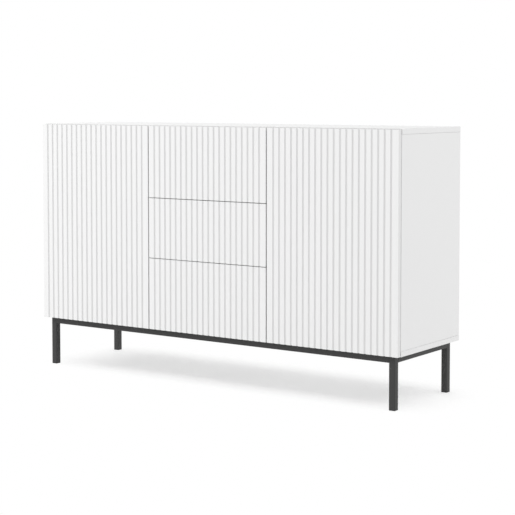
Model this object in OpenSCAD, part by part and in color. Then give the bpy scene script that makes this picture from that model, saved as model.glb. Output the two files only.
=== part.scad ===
// Sideboard: two hinged doors and three drawers with fluted, handleless fronts,
// on a frame of square steel tube. Millimetres; X to the right, Y to the back, Z up.
// The origin is on the floor, at the middle of the width and the depth.

/* [Overall size] */
// Width over the side boards
row_w = 1500; // [1440:5:1560]
// Depth from the face of the fronts to the back edge of the top board
row_d = 413; // [405:1:450]
// Height from the floor to the top
row_h = 889; // [860:1:920]

/* [Boards] */
// Thickness of the carcass boards and shelves
board_t = 18; // [16:1:19]
// Space between the fronts and the side boards
side_gap = 1.5; // [1.4:0.1:2.5]
// Space between the fronts and the top board, bottom board and partitions
board_gap = 3; // [2.5:0.1:4]
// How far the side boards end in front of the back edge of the top board
back_step = 1; // [0:0.5:2]
// Thickness of the back panels and drawer bases
panel_t = 3; // [2.5:0.5:3]

/* [Fluted fronts] */
// Thickness of the doors and drawer fronts
front_t = 16; // [16:0.5:18]
// Gap between the doors and the drawer fronts
stile_gap = 5; // [3:0.5:6]
// Gap between two drawer fronts
drawer_gap = 2.25; // [2:0.25:4]
// How far the doors' outer edges stand in from the side boards' faces
door_margin = 1.5; // [1:0.5:2]
// Distance of the fronts' top edge below the top of the sideboard
front_drop = 3; // [1:0.5:4]
// Distance of the fronts' bottom edge above the underside of the carcass
front_lift = 1; // [0:0.5:4]
// Height of the middle drawer front
middle_front_h = 209; // [195:1:225]
// Number of flutes in each front
flutes = 20; // [16:1:22]
// Distance between two flutes
flute_pitch = 23.37; // [20:0.01:23.5]
// Radius of the cutter that makes a flute
flute_r = 4.5; // [4:0.5:6]
// Depth of a flute
flute_depth = 3.2; // [2:0.1:3.6]

/* [Steel frame] */
// Height of the frame
frame_h = 173; // [150:1:200]
// Outer size of the square tube
tube = 22; // [20:1:25]
// Wall of the tube
tube_wall = 1.5; // [1.2:0.1:1.8]
// Radius of the tube's corners
tube_corner = 2; // [2:0.25:3]
// Inset of the frame from the side boards' outer faces
frame_inset = 22; // [15:1:40]
// Inset of the frame from the face of the fronts
frame_front_inset = 19; // [18:1:30]
// Inset of the frame from the back edge of the top board
frame_back_inset = 21; // [15:1:40]

/* [Inside] */
// Length and full travel of the drawer slides
slide_len = 350; // [300:10:350]
// Height of the cupboard shelves' underside above the floor
shelf_z = 522; // [480:1:560]
// Opening angle of the doors, for showing them open
door_angle = 0; // [0:5:105]
// Distance that the drawers stand open, for showing them
drawer_open = 0; // [0:10:300]

/* [Hidden] */
$fn = 48;

// How far a cutter reaches past the surface that it opens
spare = 1;

// Main planes
half_w = row_w / 2;
face_y = -row_d / 2;
back_y = row_d / 2;
front_back_y = face_y + front_t;
side_y0 = front_back_y + side_gap;
side_y1 = back_y - back_step;
board_y0 = front_back_y + board_gap;
carcass_z0 = frame_h;
floor_z = carcass_z0 + board_t;
ceiling_z = row_h - board_t;
side_in = half_w - board_t;
bay_w = row_w / 3;
part_in = bay_w / 2 - board_t / 2;
part_out = bay_w / 2 + board_t / 2;

// Fronts
door_x1 = half_w - door_margin;
door_w = door_x1 - bay_w / 2 - stile_gap / 2;
drawer_w = bay_w - stile_gap;
front_z0 = carcass_z0 + front_lift;
front_z1 = row_h - front_drop;
outer_front_h = (front_z1 - front_z0 - middle_front_h - 2 * drawer_gap) / 2;
flutes_w = (flutes - 1) * flute_pitch;

// Back panels and their joiner strips
panel_from_back = 13.5;
panel_y = back_y - panel_from_back;
panel_groove = 8;
joiner_t = 1.2;
joiner_w = 20;
part_y1 = panel_y - joiner_t;

// Cam joints: distance of the cam and of the dowel from a board's end, and their places along Y
cam_r = 7.5;
cam_depth = 12.5;
cam_from_end = 34;
bolt_r = 3;
bolt_in_board = 11;
dowel_r = 4;
dowel_len = 30;
cam_from_face = 70;
cam_from_back = 60;
cam_y = [face_y + cam_from_face, back_y - cam_from_back];
dowel_step = 32;
board_mids = [-half_w + board_t / 2, -bay_w / 2, bay_w / 2, half_w - board_t / 2];
cam_faces = [1, -1, 1, -1];

// Shelves and shelf pins
pin_r = 2.5;
pin_in = 10;
pin_out = 8;
pin_pitch = 32;
pin_rows = 2;
pin_from_face = 80;
pin_from_back = 60;
pin_y = [face_y + pin_from_face, back_y - pin_from_back];
shelf_clear = 1;
shelf_front_gap = 22;
shelf_back_gap = 4;
shelf_y0 = board_y0 + shelf_front_gap;
shelf_y1 = part_y1 - shelf_back_gap;

// Frame
frame_x1 = half_w - frame_inset;
frame_x0 = frame_x1 - tube;
frame_y0 = face_y + frame_front_inset;
frame_y1 = back_y - frame_back_inset;
glide_h = 3;
plug_h = 12;
plug_clear = 0.2;
tab_size = 34;
tab_t = 3;
tab_screw_r = 2;
tab_screw_depth = 13;
tab_from_leg = 120;
tab_x = [-frame_x0 + tab_from_leg, 0, frame_x0 - tab_from_leg];

// Hinges, measured from the door's outer front corner: u inwards, v to the back
hinge_from_end = 100;
hinge_z = [front_z0 + hinge_from_end, front_z1 - hinge_from_end];
axis_u = 5;
axis_v = 5;
cup_u = 22.5;
cup_r = 17.5;
cup_depth = 11;
cup_wall = 0.8;
flange_t = 1;
flange_l = 52;
flange_w = 16;
flange_screw = 22;
link_u = 10.5;
link_v = 12;
link_reach = 16.5;
link_knee = 6;
link_knee_angle = -56;
link_knee_at = [link_knee * cos(link_knee_angle), link_knee * sin(link_knee_angle)];
link_rivet_r = 0.8;
link_turn = 1.44;
link_t = 2;
link_eye_r = 2.2;
link_gap = 4.6;
link_plate = 1.4;
link_rivet_in = 0.2;
tongue_half = 4;
plate_from_edge = 37;
plate_v = front_t + side_gap + plate_from_edge;
side_u = board_t - door_margin;
plate_t = 2;
plate_len = 52;
plate_wide = 14;
plate_screw = 16;
screw_r = 2.5;
screw_head_r = 3.6;
screw_len = 12;
spine_half = 5.5;
spine_l = 42;
spine_step = 3;
arm_lift = 1;
arm_high = 9;
arm_half = 8.5;
arm_wall = 1.2;
arm_nose = 6;
arm_behind_door = 9;
arm_past_plate = 24;
arm_u0 = side_u + plate_t + arm_lift;
arm_u1 = arm_u0 + arm_high;
arm_v0 = front_t + arm_behind_door;
arm_v1 = plate_v + arm_past_plate;
tongue_lap = 1;
tongue_neck = 5;
tongue_slant = 1;
tongue_in = 2;

// Push latches
latch_wide = 12;
latch_half = 8;
latch_len = 58;
latch_ear = 34;
latch_ear_t = 2;
latch_ear_y0 = 23;
latch_ear_y1 = 43;
latch_screw_y = 33;
latch_screw = 13;
latch_screw_r = 1.8;
latch_inset = 0.5;
latch_y = board_y0 + latch_inset;
latch_from_top = 57;
latch_door_z = front_z1 - latch_from_top;
plunger_r = 4;
plunger_clear = 0.2;
plunger_rest_gap = 0.3;
plunger_len = 44;
plunger_tip_r = 5.2;
plunger_tip_t = 1.5;
plunger_stroke_room = 2;

// Drawer boxes: bottom, middle and top
slide_space = 12.7;
box_half = part_in - slide_space;
box_t = 12;
box_len = slide_len;
box_groove = 5;
box_lip = 8;
box_raise = [30, 15, 15];
box_trim = [60, 45, 60];
front_bases = [front_z0, front_z0 + outer_front_h + drawer_gap, front_z1 - outer_front_h];
front_heights = [outer_front_h, middle_front_h, outer_front_h];

// Slides: half heights and reaches of the three nested channels, from the partition's face
slide_inset = 3.5;
slide_y = board_y0 + slide_inset;
slide_up = 40;
slide_wall = 1.2;
outer_half = 22.8;
outer_reach = 10.5;
middle_half = 19.8;
middle_from = 1.8;
middle_reach = 11.2;
inner_half = 16.8;
inner_from = 4;
latch_up = 110;

// A box between two corners
module block(low, high) {
    translate(low) cube(high - low);
}

// A shape made for the right side, or its mirror image for the left
module on_side(side) {
    if (side > 0) children();
    else mirror([1, 0, 0]) children();
}

// A flat outline in X and Z drawn out along Y
module along_y(y0, length) {
    translate([0, y0 + length, 0]) rotate([90, 0, 0]) linear_extrude(length) children();
}

// A rod along X
module rod_x(x0, x1, y, z, r) {
    translate([min(x0, x1), y, z]) rotate([0, 90, 0]) cylinder(r = r, h = abs(x1 - x0));
}

// A rod along Y
module rod_y(x, y0, y1, z, r) {
    translate([x, y1, z]) rotate([90, 0, 0]) cylinder(r = r, h = y1 - y0);
}

// Places of the hinge parts of one door, drawn in u (inwards) and v (to the back)
module hinge_frame(side) {
    on_side(side) translate([door_x1, face_y, 0]) mirror([1, 0, 0]) children();
}

// A door at its place, turned about its hinge axis by door_angle
module door_pose(side) {
    axis_x = door_x1 - axis_u;
    axis_y = face_y + axis_v;
    on_side(side)
        translate([axis_x, axis_y, 0]) rotate([0, 0, door_angle]) translate([-axis_x, -axis_y, 0])
            children();
}

// ---- Carcass ----

// Bolt and dowel holes in the face of the top or bottom board, centred on its mid plane's face
module board_joint_holes(z, up) {
    for (x = board_mids, y = cam_y) {
        translate([x, y, up ? z : z - bolt_in_board]) cylinder(r = screw_r, h = bolt_in_board);
        translate([x, y + dowel_step, up ? z : z - dowel_len / 2])
            cylinder(r = dowel_r, h = dowel_len / 2);
    }
}

// Cam, bolt and dowel holes in an upright board; face is the side that shows the cams
module upright_joint_holes(mid, face) {
    for (y = cam_y, top = [false, true]) {
        cam_z = top ? ceiling_z - cam_from_end : floor_z + cam_from_end;
        bolt_z0 = top ? cam_z : floor_z;
        dowel_z0 = top ? ceiling_z - dowel_len / 2 : floor_z;
        face_x = mid + face * board_t / 2;
        deep_x = face_x - face * cam_depth;
        rod_x(face_x, deep_x, y, cam_z, cam_r);
        translate([mid, y, bolt_z0]) cylinder(r = bolt_r, h = cam_from_end);
        translate([mid, y + dowel_step, dowel_z0]) cylinder(r = dowel_r, h = dowel_len / 2);
    }
}

// Rows of holes for the shelf pins, drilled from the face at x towards the inside of the board
module pin_holes(x, into) {
    for (y = pin_y, i = [-pin_rows:pin_rows])
        rod_x(x, x + into * pin_in, y, shelf_z - pin_r + i * pin_pitch, pin_r);
}

module back_groove() {
    reach = half_w - board_t + panel_groove;
    block([-reach, panel_y, floor_z - panel_groove], [reach, panel_y + panel_t, ceiling_z + panel_groove]);
}

module top_board() {
    color("white") difference() {
        block([-half_w, board_y0, ceiling_z], [half_w, back_y, row_h]);
        back_groove();
        board_joint_holes(ceiling_z, true);
    }
}

module bottom_board() {
    color("white") difference() {
        block([-half_w, board_y0, carcass_z0], [half_w, back_y, floor_z]);
        back_groove();
        board_joint_holes(floor_z, false);
        tab_places() translate([0, 0, carcass_z0]) cylinder(r = tab_screw_r, h = tab_screw_depth);
    }
}

module side_board(side) {
    color("white") on_side(side) difference() {
        block([side_in, side_y0, floor_z], [half_w, side_y1, ceiling_z]);
        back_groove();
        upright_joint_holes(half_w - board_t / 2, -1);
        pin_holes(side_in, 1);
        for (z = hinge_z, up = [-1, 1])
            rod_x(side_in, side_in + screw_len, face_y + plate_v, z + up * plate_screw, screw_r);
    }
}

module partition(side) {
    color("white") on_side(side) difference() {
        block([part_in, board_y0, floor_z], [part_out, part_y1, ceiling_z]);
        upright_joint_holes(bay_w / 2, 1);
        pin_holes(part_out, -1);
    }
}

module back_panels() {
    z0 = floor_z - panel_groove;
    z1 = ceiling_z + panel_groove;
    reach = side_in + panel_groove;
    seam = joiner_t / 2;
    color("gainsboro") {
        block([-reach, panel_y, z0], [-bay_w / 2 - seam, panel_y + panel_t, z1]);
        block([-bay_w / 2 + seam, panel_y, z0], [bay_w / 2 - seam, panel_y + panel_t, z1]);
        block([bay_w / 2 + seam, panel_y, z0], [reach, panel_y + panel_t, z1]);
    }
}

// H-section strips behind the partitions that hold the edges of the back panels
module back_joiners() {
    color("whitesmoke") for (side = [-1, 1]) translate([side * bay_w / 2, 0, floor_z])
        linear_extrude(ceiling_z - floor_z) {
            translate([-joiner_w / 2, panel_y - joiner_t]) square([joiner_w, joiner_t]);
            translate([-joiner_w / 2, panel_y + panel_t]) square([joiner_w, joiner_t]);
            translate([-joiner_t / 2, panel_y - joiner_t]) square([joiner_t, panel_t + 2 * joiner_t]);
        }
}

module shelf(side) {
    color("white") on_side(side)
        block([part_out + shelf_clear, shelf_y0, shelf_z],
              [side_in - shelf_clear, shelf_y1, shelf_z + board_t]);
}

module shelf_pins() {
    color("silver") for (side = [-1, 1], y = pin_y) on_side(side) {
        rod_x(part_out - pin_in, part_out + pin_out, y, shelf_z - pin_r, pin_r);
        rod_x(side_in - pin_out, side_in + pin_in, y, shelf_z - pin_r, pin_r);
    }
}

// Places of the cams: children are drawn with the cam's open face at X = 0, its body towards -X
module cam_places() {
    for (i = [0:3], y = cam_y, z = [floor_z + cam_from_end, ceiling_z - cam_from_end])
        translate([board_mids[i] + cam_faces[i] * board_t / 2, y, z])
            rotate([0, 0, cam_faces[i] > 0 ? 0 : 180]) children();
}

module cam_locks() {
    slot_w = 1.6;
    slot_depth = 2;
    slot_reach = 4.5;
    color("lightgray") cam_places() difference() {
        rod_x(-cam_depth, 0, 0, 0, cam_r);
        translate([-board_t / 2, 0, -cam_r]) cylinder(r = bolt_r, h = 2 * cam_r);
        block([-slot_depth, -slot_reach, -slot_w / 2], [spare, slot_reach, slot_w / 2]);
        block([-slot_depth, -slot_w / 2, -slot_reach], [spare, slot_w / 2, slot_reach]);
    }
}

module cam_bolts() {
    color("silver") for (x = board_mids, y = cam_y) {
        translate([x, y, ceiling_z - cam_from_end]) cylinder(r = bolt_r, h = cam_from_end);
        translate([x, y, ceiling_z]) cylinder(r = screw_r, h = bolt_in_board);
        translate([x, y, floor_z]) cylinder(r = bolt_r, h = cam_from_end);
        translate([x, y, floor_z - bolt_in_board]) cylinder(r = screw_r, h = bolt_in_board);
    }
}

module dowels() {
    color("burlywood") for (x = board_mids, y = cam_y, z = [floor_z, ceiling_z])
        translate([x, y + dowel_step, z - dowel_len / 2]) cylinder(r = dowel_r, h = dowel_len);
}

// ---- Steel frame ----

// A square with rounded corners, its low corner at the origin
module rounded_square(size, r) {
    translate([r, 0]) square([size - 2 * r, size]);
    translate([0, r]) square([size, size - 2 * r]);
    for (x = [r, size - r], y = [r, size - r]) translate([x, y]) circle(r);
}

// Section of the square tube, its low corner at the origin
module tube_section() {
    difference() {
        rounded_square(tube, tube_corner);
        translate([tube_wall, tube_wall]) rounded_square(tube - 2 * tube_wall, tube_corner - tube_wall);
    }
}

module leg(side, front) {
    y0 = front ? frame_y0 : frame_y1 - tube;
    color("#222222") on_side(side)
        translate([frame_x0, y0, glide_h]) linear_extrude(frame_h - glide_h) tube_section();
}

module long_rail(front) {
    y0 = front ? frame_y0 : frame_y1 - tube;
    color("#222222") translate([-frame_x0, y0, frame_h])
        rotate([0, 90, 0]) linear_extrude(2 * frame_x0) tube_section();
}

module short_rail(side) {
    color("#222222") on_side(side) translate([frame_x0, 0, frame_h - tube])
        along_y(frame_y0 + tube, frame_y1 - frame_y0 - 2 * tube) tube_section();
}

// Centres of the tabs' screws, along the inner sides of the long rails
module tab_places() {
    for (x = tab_x, front = [0, 1])
        translate([x, front ? frame_y0 + tube + tab_size / 2 : frame_y1 - tube - tab_size / 2, 0]) children();
}

module frame_tabs() {
    color("#222222") tab_places() difference() {
        translate([-tab_size / 2, -tab_size / 2, frame_h - tab_t]) cube([tab_size, tab_size, tab_t]);
        translate([0, 0, frame_h - tab_t - spare]) cylinder(r = screw_r, h = tab_t + 2 * spare);
    }
}

module frame_screws() {
    head_r = 4.5;
    head_h = 2.5;
    color("silver") tab_places() translate([0, 0, frame_h - tab_t]) {
        translate([0, 0, -head_h]) cylinder(r = head_r, h = head_h);
        cylinder(r = tab_screw_r, h = tab_t + tab_screw_depth);
    }
}

module leg_glides() {
    inner = tube - 2 * tube_wall - plug_clear;
    color("#181818") for (side = [-1, 1], y0 = [frame_y0, frame_y1 - tube]) on_side(side) {
        translate([frame_x0, y0, 0]) linear_extrude(glide_h) rounded_square(tube, tube_corner);
        translate([frame_x0 + (tube - inner) / 2, y0 + (tube - inner) / 2, glide_h])
            cube([inner, inner, plug_h]);
    }
}

// ---- Fronts ----

// A front with its flutes milled full height into its face
module fluted_panel(x0, z0, w, h) {
    translate([x0, face_y, z0]) linear_extrude(h) difference() {
        square([w, front_t]);
        for (i = [0:flutes - 1])
            translate([(w - flutes_w) / 2 + i * flute_pitch, flute_depth - flute_r]) circle(flute_r);
    }
}

module door(side) {
    color("white") door_pose(side) difference() {
        fluted_panel(door_x1 - door_w, front_z0, door_w, front_z1 - front_z0);
        for (z = hinge_z) rod_y(door_x1 - cup_u, front_back_y - cup_depth, front_back_y + spare, z, cup_r);
    }
}

module drawer_pose() {
    translate([0, -drawer_open, 0]) children();
}

module drawer_front(i) {
    color("white") drawer_pose() fluted_panel(-drawer_w / 2, front_bases[i], drawer_w, front_heights[i]);
}

// ---- Hinges ----

module hinge_cups(side) {
    x = door_x1 - cup_u;
    color("silver") door_pose(side) for (z = hinge_z) difference() {
        union() {
            rod_y(x, front_back_y - cup_depth, front_back_y, z, cup_r);
            rod_y(x, front_back_y, front_back_y + flange_t, z, cup_r);
            block([x - flange_w / 2, front_back_y, z - flange_l / 2],
                  [x + flange_w / 2, front_back_y + flange_t, z + flange_l / 2]);
        }
        rod_y(x, front_back_y - cup_depth + cup_wall, front_back_y + flange_t + spare, z, cup_r - cup_wall);
        for (up = [-1, 1])
            rod_y(x, front_back_y - spare, front_back_y + flange_t + spare, z + up * flange_screw, screw_r);
    }
}

// Unit normal of a direction given by its angle
function normal_of(angle) = [-sin(angle), cos(angle)];

// One cheek of a link: an eye at the cup, a knee, and an eye at the arm
module link_outline() {
    far_angle = atan2(-link_knee_at[1], link_reach - link_knee_at[0]);
    near = normal_of(link_knee_angle) * link_t / 2;
    far = normal_of(far_angle) * link_t / 2;
    miter = (near + far) / (1 + cos(far_angle - link_knee_angle));
    eye = [link_reach, 0];
    polygon([near, link_knee_at + miter, eye + far, eye - far, link_knee_at - miter, -near]);
    circle(link_eye_r);
    translate(eye) circle(link_eye_r);
}

// Links: two cheeks joined by a rivet at the cup and another at the knee
module hinge_links(side) {
    half = link_gap + link_plate;
    rivet_half = half - link_rivet_in;
    color("silver") door_pose(side) for (z = hinge_z)
        translate([door_x1 - link_u, face_y + link_v, z]) mirror([1, 0, 0]) rotate(link_turn * door_angle) {
            for (low = [-half, link_gap]) translate([0, 0, low]) linear_extrude(link_plate) link_outline();
            for (rivet = [[0, 0], link_knee_at])
                translate([rivet[0], rivet[1], -rivet_half]) cylinder(r = link_rivet_r, h = 2 * rivet_half);
        }
}

// Arms: a channel over the mounting plate and a tongue that reaches into the cup
module hinge_arms() {
    color("silver") for (side = [-1, 1], z = hinge_z) hinge_frame(side) translate([0, 0, z]) {
        difference() {
            block([arm_u0, arm_v0, -arm_half], [arm_u1, arm_v1, arm_half]);
            block([arm_u0 - spare, arm_v0 + arm_nose, -arm_half + arm_wall],
                  [arm_u1 - arm_wall, arm_v1 + spare, arm_half - arm_wall]);
        }
        translate([0, 0, -tongue_half]) linear_extrude(2 * tongue_half) polygon([
            [arm_u0, arm_v0 + tongue_lap],
            [arm_u1, arm_v0 + tongue_lap],
            [arm_u1 - tongue_slant, arm_v0 - tongue_neck],
            [arm_u1 - 2 * tongue_slant, link_v],
            [arm_u0 + tongue_in + tongue_slant / 2, link_v],
            [arm_u0 + tongue_in, arm_v0 - tongue_neck - tongue_slant]]);
    }
}

module hinge_plates() {
    color("silver") for (side = [-1, 1], z = hinge_z) hinge_frame(side) translate([0, 0, z]) difference() {
        union() {
            block([side_u, plate_v - plate_wide / 2, -plate_len / 2],
                  [side_u + plate_t, plate_v + plate_wide / 2, plate_len / 2]);
            block([side_u, plate_v - spine_l / 2, -spine_half],
                  [side_u + plate_t, plate_v + spine_l / 2, spine_half]);
            block([side_u, plate_v - spine_l / 2 + spine_step, -spine_half],
                  [arm_u1 - arm_wall, plate_v + spine_l / 2 - spine_step, spine_half]);
        }
        for (up = [-1, 1])
            rod_x(side_u - spare, side_u + plate_t + spare, plate_v, up * plate_screw, screw_r);
    }
}

module hinge_screws() {
    head = 1.6;
    color("silver") for (side = [-1, 1], z = hinge_z, up = [-1, 1])
        hinge_frame(side) translate([0, 0, z + up * plate_screw]) {
            rod_x(side_u - screw_len, side_u + plate_t, plate_v, 0, screw_r);
            rod_x(side_u + plate_t, side_u + plate_t + head, plate_v, 0, screw_head_r);
        }
}

// ---- Push latches ----

// A latch housing with its back face at X = 0 and its body towards +X
module latch_housing(z) {
    translate([0, latch_y, z]) difference() {
        union() {
            block([0, 0, -latch_half], [latch_wide, latch_len, latch_half]);
            block([0, latch_ear_y0, -latch_ear / 2], [latch_ear_t, latch_ear_y1, latch_ear / 2]);
        }
        rod_y(latch_wide / 2, -spare, plunger_len + plunger_stroke_room, 0, plunger_r + plunger_clear);
        for (up = [-1, 1])
            rod_x(-spare, latch_ear_t + spare, latch_screw_y, up * latch_screw, latch_screw_r);
    }
}

module latch_housings() {
    color("lightgray") {
        for (side = [-1, 1]) on_side(side) translate([part_out, 0, 0]) latch_housing(latch_door_z);
        for (i = [0:2]) translate([part_in, 0, 0]) mirror([1, 0, 0]) latch_housing(box_z(i) + latch_up);
    }
}

module plunger(x, z) {
    y0 = front_back_y + plunger_rest_gap;
    color("darkgray") {
        rod_y(x, y0, y0 + plunger_len, z, plunger_r);
        rod_y(x, y0, y0 + plunger_tip_t, z, plunger_tip_r);
    }
}

module door_plunger(side) {
    on_side(side) plunger(part_out + latch_wide / 2, latch_door_z);
}

module drawer_plunger(i) {
    plunger(part_in - latch_wide / 2, box_z(i) + latch_up);
}

// ---- Drawer boxes ----

function box_z(i) = front_bases[i] + box_raise[i];
function box_h(i) = front_heights[i] - box_trim[i];

module box_base_solid(i, grow) {
    inner = box_half - box_t;
    y0 = front_back_y + box_t;
    y1 = front_back_y + box_len - box_t;
    block([-inner - grow, y0 - grow, box_z(i) + box_lip],
          [inner + grow, y1 + grow, box_z(i) + box_lip + panel_t]);
}

module drawer_sides(i) {
    color("whitesmoke") drawer_pose() difference() {
        for (side = [-1, 1]) on_side(side)
            block([box_half - box_t, front_back_y, box_z(i)],
                  [box_half, front_back_y + box_len, box_z(i) + box_h(i)]);
        box_base_solid(i, box_groove);
    }
}

module drawer_ends(i) {
    inner = box_half - box_t;
    color("whitesmoke") drawer_pose() difference() {
        for (y = [front_back_y, front_back_y + box_len - box_t])
            block([-inner, y, box_z(i)], [inner, y + box_t, box_z(i) + box_h(i)]);
        box_base_solid(i, box_groove);
    }
}

module drawer_base(i) {
    color("gainsboro") drawer_pose() box_base_solid(i, box_groove);
}

// ---- Drawer slides ----

// A channel's outline: web at X = web_x, walls reaching from there to x1, open away from the web
module channel(x0, x1, half, web_at_x0) {
    web_x = web_at_x0 ? x0 : x1 - slide_wall;
    translate([web_x, -half]) square([slide_wall, 2 * half]);
    for (z = [-half, half - slide_wall]) translate([x0, z]) square([x1 - x0, slide_wall]);
}

// Both slides of a drawer: children are a channel drawn from the partition's face inwards
module slide_pair(i) {
    for (side = [-1, 1]) on_side(side)
        translate([part_in, 0, box_z(i) + slide_up]) mirror([1, 0, 0]) along_y(slide_y, slide_len) children();
}

module slide_outers() {
    color("silver") for (i = [0:2]) slide_pair(i) channel(0, outer_reach, outer_half, true);
}

module slide_middle(i) {
    color("silver") translate([0, -drawer_open / 2, 0])
        slide_pair(i) channel(middle_from, middle_reach, middle_half, true);
}

module slide_inner(i) {
    color("silver") drawer_pose() slide_pair(i) channel(inner_from, slide_space, inner_half, false);
}

top_board();
bottom_board();
side_board(-1);  // side_left
side_board(1);  // side_right
partition(-1);  // partition_left
partition(1);  // partition_right
back_panels();
back_joiners();
shelf(-1);  // shelf_left
shelf(1);  // shelf_right
shelf_pins();
cam_locks();
cam_bolts();
dowels();
leg(-1, true);  // leg_front_left
leg(1, true);  // leg_front_right
leg(-1, false);  // leg_back_left
leg(1, false);  // leg_back_right
long_rail(true);  // rail_front
long_rail(false);  // rail_back
short_rail(-1);  // rail_left
short_rail(1);  // rail_right
frame_tabs();
frame_screws();
leg_glides();
door(-1);  // door_left
door(1);  // door_right
hinge_cups(-1);  // hinge_cups_left
hinge_cups(1);  // hinge_cups_right
hinge_links(-1);  // hinge_links_left
hinge_links(1);  // hinge_links_right
hinge_arms();
hinge_plates();
hinge_screws();
latch_housings();
door_plunger(-1);  // plunger_door_left
door_plunger(1);  // plunger_door_right
drawer_plunger(2);  // plunger_top
drawer_plunger(1);  // plunger_middle
drawer_plunger(0);  // plunger_bottom
drawer_front(2);  // drawer_front_top
drawer_front(1);  // drawer_front_middle
drawer_front(0);  // drawer_front_bottom
drawer_sides(2);  // drawer_sides_top
drawer_sides(1);  // drawer_sides_middle
drawer_sides(0);  // drawer_sides_bottom
drawer_ends(2);  // drawer_ends_top
drawer_ends(1);  // drawer_ends_middle
drawer_ends(0);  // drawer_ends_bottom
drawer_base(2);  // drawer_base_top
drawer_base(1);  // drawer_base_middle
drawer_base(0);  // drawer_base_bottom
slide_outers();
slide_middle(2);  // slide_middle_top
slide_middle(1);  // slide_middle_middle
slide_middle(0);  // slide_middle_bottom
slide_inner(2);  // slide_inner_top
slide_inner(1);  // slide_inner_middle
slide_inner(0);  // slide_inner_bottom
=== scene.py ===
# Sideboard with two fluted doors and three fluted drawers on a square tube frame.
# The file follows the object as it is put together, from the floor up.
import math
import bpy
from mathutils import Matrix, Vector


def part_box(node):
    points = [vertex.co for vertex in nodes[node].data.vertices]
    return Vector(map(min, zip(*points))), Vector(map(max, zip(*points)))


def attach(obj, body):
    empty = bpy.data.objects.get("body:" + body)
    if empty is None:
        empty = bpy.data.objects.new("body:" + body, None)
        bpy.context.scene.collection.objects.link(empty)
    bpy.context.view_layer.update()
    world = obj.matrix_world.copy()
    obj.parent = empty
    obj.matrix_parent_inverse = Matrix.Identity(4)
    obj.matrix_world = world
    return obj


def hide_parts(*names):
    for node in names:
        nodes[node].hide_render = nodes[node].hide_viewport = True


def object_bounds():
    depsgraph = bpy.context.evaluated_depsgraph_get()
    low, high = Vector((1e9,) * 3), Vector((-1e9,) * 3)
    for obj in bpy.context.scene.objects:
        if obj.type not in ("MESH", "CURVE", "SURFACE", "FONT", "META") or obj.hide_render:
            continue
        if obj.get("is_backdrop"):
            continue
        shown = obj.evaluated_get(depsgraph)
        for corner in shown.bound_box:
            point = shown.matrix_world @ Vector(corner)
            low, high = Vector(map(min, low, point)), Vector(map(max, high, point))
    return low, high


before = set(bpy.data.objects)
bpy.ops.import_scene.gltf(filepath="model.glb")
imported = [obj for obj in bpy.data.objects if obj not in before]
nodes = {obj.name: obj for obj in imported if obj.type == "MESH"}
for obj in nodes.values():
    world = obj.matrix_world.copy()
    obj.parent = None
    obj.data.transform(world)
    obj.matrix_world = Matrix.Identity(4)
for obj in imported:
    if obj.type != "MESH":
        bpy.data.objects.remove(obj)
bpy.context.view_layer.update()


# ---- Camera ----
# A long lens to the right of the front, a little above the top, dipped slightly. Part of the
# framing is lens shift, which keeps the uprights nearly parallel.
camera_place = (2.989, -4.177, 0.992)
camera_turn = math.radians(34.99)
camera_dip = math.radians(3.21)
bpy.ops.object.camera_add(location=camera_place, rotation=(math.pi / 2 - camera_dip, 0, camera_turn))
camera = bpy.context.object
camera.name = "studio_camera"
camera.data.sensor_width = 36
camera.data.lens = 102.54
camera.data.shift_x = 0.0024
camera.data.shift_y = -0.155
bpy.context.scene.camera = camera
bpy.context.scene.view_settings.view_transform = "Standard"


# ---- Studio floor and light ----
# A white floor that runs on to the horizon. Seen directly it fades to pure white round the pale
# shadow under the cabinet; for light that bounces off it, it is plain matt white. The lamps' own
# light on it is an even glow, so that the only shadow on it is the soft one of the room light.
def linear(hex_colour):
    """An sRGB hex colour as linear red, green, blue and alpha."""
    channels = [int(hex_colour[i:i + 2], 16) / 255 for i in (1, 3, 5)]
    return [c / 12.92 if c <= 0.04045 else ((c + 0.055) / 1.055) ** 2.4 for c in channels] + [1]


def add_node(tree, kind, settings=None, **inputs):
    """Adds a shader node. Inputs are values, or sockets of other nodes to link."""
    node = tree.nodes.new(kind)
    for key, value in (settings or {}).items():
        setattr(node, key, value)
    for key, value in inputs.items():
        name = key.replace("_", " ")
        socket = node.inputs[int(key[1:])] if key[0] == "i" and key[1:].isdigit() else node.inputs[name]
        if isinstance(value, bpy.types.NodeSocket):
            tree.links.new(value, socket)
        else:
            socket.default_value = value
    return node


def seen_directly(tree):
    """1 for camera, mirror and glass rays, which show the background as it looks."""
    path = add_node(tree, "ShaderNodeLightPath")
    both = add_node(tree, "ShaderNodeMath", {"operation": "MAXIMUM"},
                    i0=path.outputs["Is Camera Ray"], i1=path.outputs["Is Glossy Ray"])
    seen = add_node(tree, "ShaderNodeMath", {"operation": "MAXIMUM"},
                    i0=both.outputs[0], i1=path.outputs["Is Transmission Ray"])
    return seen.outputs[0]


def new_material(name):
    """An empty node material, its tree and the object coordinates in it."""
    material = bpy.data.materials.new(name)
    material.use_nodes = True
    tree = material.node_tree
    tree.nodes.clear()
    return material, tree, add_node(tree, "ShaderNodeTexCoord").outputs["Object"]


floor_reach = 60
matt_white = (0.88, 0.88, 0.88, 1)
shown_white = (1.31, 1.31, 1.31, 1)
lamp_glow = 0.2
bpy.ops.object.select_all(action="DESELECT")
bpy.ops.mesh.primitive_plane_add(size=floor_reach, location=(0, 0, 0))
floor = bpy.context.object
floor.name = "studio_floor"
floor_paint, tree, place = new_material("matt_white_floor")

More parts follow.
